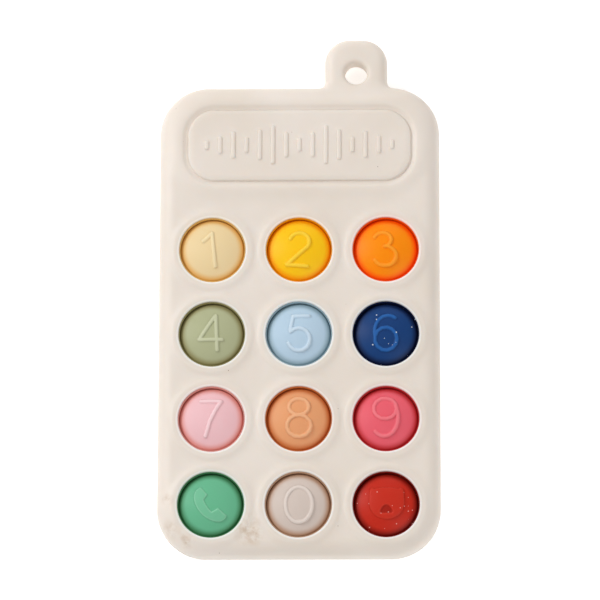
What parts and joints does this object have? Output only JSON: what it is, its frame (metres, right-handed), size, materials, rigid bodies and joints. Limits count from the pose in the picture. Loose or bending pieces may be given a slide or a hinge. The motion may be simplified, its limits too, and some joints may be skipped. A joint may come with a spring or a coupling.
{
  "type": "push-bubble toy phone",
  "caption": "Slab-shaped silicone toy phone with a strap lug, a raised label, and a keypad of domed coloured bubbles that press through to the back.",
  "frame": {"origin": "centre of the whole outline, on the flat back face", "axes": "+X to the right seen from the front, +Y towards the strap lug, +Z out of the keypad face"},
  "size_m": [0.0856, 0.1626, 0.014],
  "materials": {
    "cream_silicone": "satin moulded silicone",
    "bubble_1": "satin moulded silicone, slightly translucent",
    "bubble_2": "satin moulded silicone, slightly translucent",
    "bubble_3": "satin moulded silicone, slightly translucent",
    "bubble_4": "satin moulded silicone, slightly translucent",
    "bubble_5": "satin moulded silicone, slightly translucent",
    "bubble_6": "satin moulded silicone, slightly translucent",
    "bubble_7": "satin moulded silicone, slightly translucent",
    "bubble_8": "satin moulded silicone, slightly translucent",
    "bubble_9": "satin moulded silicone, slightly translucent",
    "bubble_call": "satin moulded silicone, slightly translucent",
    "bubble_0": "satin moulded silicone, slightly translucent",
    "bubble_end": "satin moulded silicone, slightly translucent"
  },
  "bodies": {
    "case": {"front_shell": "cream_silicone", "back_shell": "cream_silicone", "web_1": "bubble_1", "web_2": "bubble_2", "web_3": "bubble_3", "web_4": "bubble_4", "web_5": "bubble_5", "web_6": "bubble_6", "web_7": "bubble_7", "web_8": "bubble_8", "web_9": "bubble_9", "web_call": "bubble_call", "web_0": "bubble_0", "web_end": "bubble_end"},
    "key_1": {"button_1": "bubble_1"},
    "key_2": {"button_2": "bubble_2"},
    "key_3": {"button_3": "bubble_3"},
    "key_4": {"button_4": "bubble_4"},
    "key_5": {"button_5": "bubble_5"},
    "key_6": {"button_6": "bubble_6"},
    "key_7": {"button_7": "bubble_7"},
    "key_8": {"button_8": "bubble_8"},
    "key_9": {"button_9": "bubble_9"},
    "key_call": {"button_call": "bubble_call"},
    "key_0": {"button_0": "bubble_0"},
    "key_end": {"button_end": "bubble_end"}
  },
  "joints": [
    {"name": "press_1", "type": "slide", "parent": "case", "child": "key_1", "axis": [0, 0, 1], "range_m": [-0.0111, 0], "deforming": ["web_1"]},
    {"name": "press_2", "type": "slide", "parent": "case", "child": "key_2", "axis": [0, 0, 1], "range_m": [-0.0111, 0], "deforming": ["web_2"]},
    {"name": "press_3", "type": "slide", "parent": "case", "child": "key_3", "axis": [0, 0, 1], "range_m": [-0.0111, 0], "deforming": ["web_3"]},
    {"name": "press_4", "type": "slide", "parent": "case", "child": "key_4", "axis": [0, 0, 1], "range_m": [-0.0111, 0], "deforming": ["web_4"]},
    {"name": "press_5", "type": "slide", "parent": "case", "child": "key_5", "axis": [0, 0, 1], "range_m": [-0.0111, 0], "deforming": ["web_5"]},
    {"name": "press_6", "type": "slide", "parent": "case", "child": "key_6", "axis": [0, 0, 1], "range_m": [-0.0111, 0], "deforming": ["web_6"]},
    {"name": "press_7", "type": "slide", "parent": "case", "child": "key_7", "axis": [0, 0, 1], "range_m": [-0.0111, 0], "deforming": ["web_7"]},
    {"name": "press_8", "type": "slide", "parent": "case", "child": "key_8", "axis": [0, 0, 1], "range_m": [-0.0111, 0], "deforming": ["web_8"]},
    {"name": "press_9", "type": "slide", "parent": "case", "child": "key_9", "axis": [0, 0, 1], "range_m": [-0.0111, 0], "deforming": ["web_9"]},
    {"name": "press_call", "type": "slide", "parent": "case", "child": "key_call", "axis": [0, 0, 1], "range_m": [-0.0111, 0], "deforming": ["web_call"]},
    {"name": "press_0", "type": "slide", "parent": "case", "child": "key_0", "axis": [0, 0, 1], "range_m": [-0.0111, 0], "deforming": ["web_0"]},
    {"name": "press_end", "type": "slide", "parent": "case", "child": "key_end", "axis": [0, 0, 1], "range_m": [-0.0111, 0], "deforming": ["web_end"]}
  ]
}
